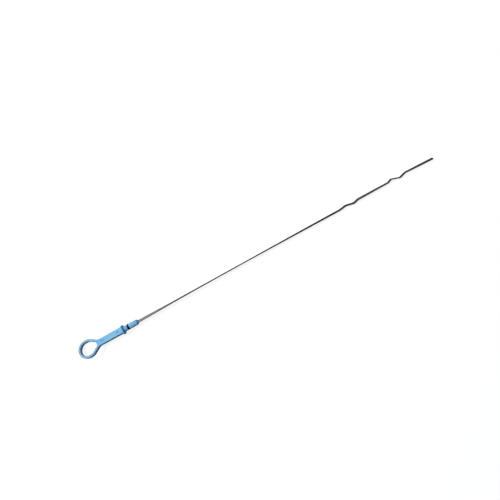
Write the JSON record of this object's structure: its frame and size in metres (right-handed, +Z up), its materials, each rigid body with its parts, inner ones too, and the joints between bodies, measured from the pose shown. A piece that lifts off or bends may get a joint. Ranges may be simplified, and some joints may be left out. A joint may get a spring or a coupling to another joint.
{
  "type": "engine oil dipstick",
  "caption": "Pull-out oil level dipstick: teardrop finger loop, shank, collar, plug with a seal ring, and a long twisted steel strip with kinks near its tip.",
  "frame": {"origin": "middle of the collar's seat, on the plug's axis", "axes": "+X along the plug towards the strip's tip (the plug dips half a degree towards the tip, because the part lies at rest), +Z up from the surface that the part lies on"},
  "size_m": [0.6477, 0.0296, 0.0164],
  "materials": {
    "handle_plastic": "satin moulded",
    "seal_rubber": "oiled matt",
    "strip_steel": "rolled spring steel with a film of oil"
  },
  "bodies": {
    "root": {"handle": "handle_plastic", "o_ring": "seal_rubber", "blade": "strip_steel"}
  },
  "joints": []
}
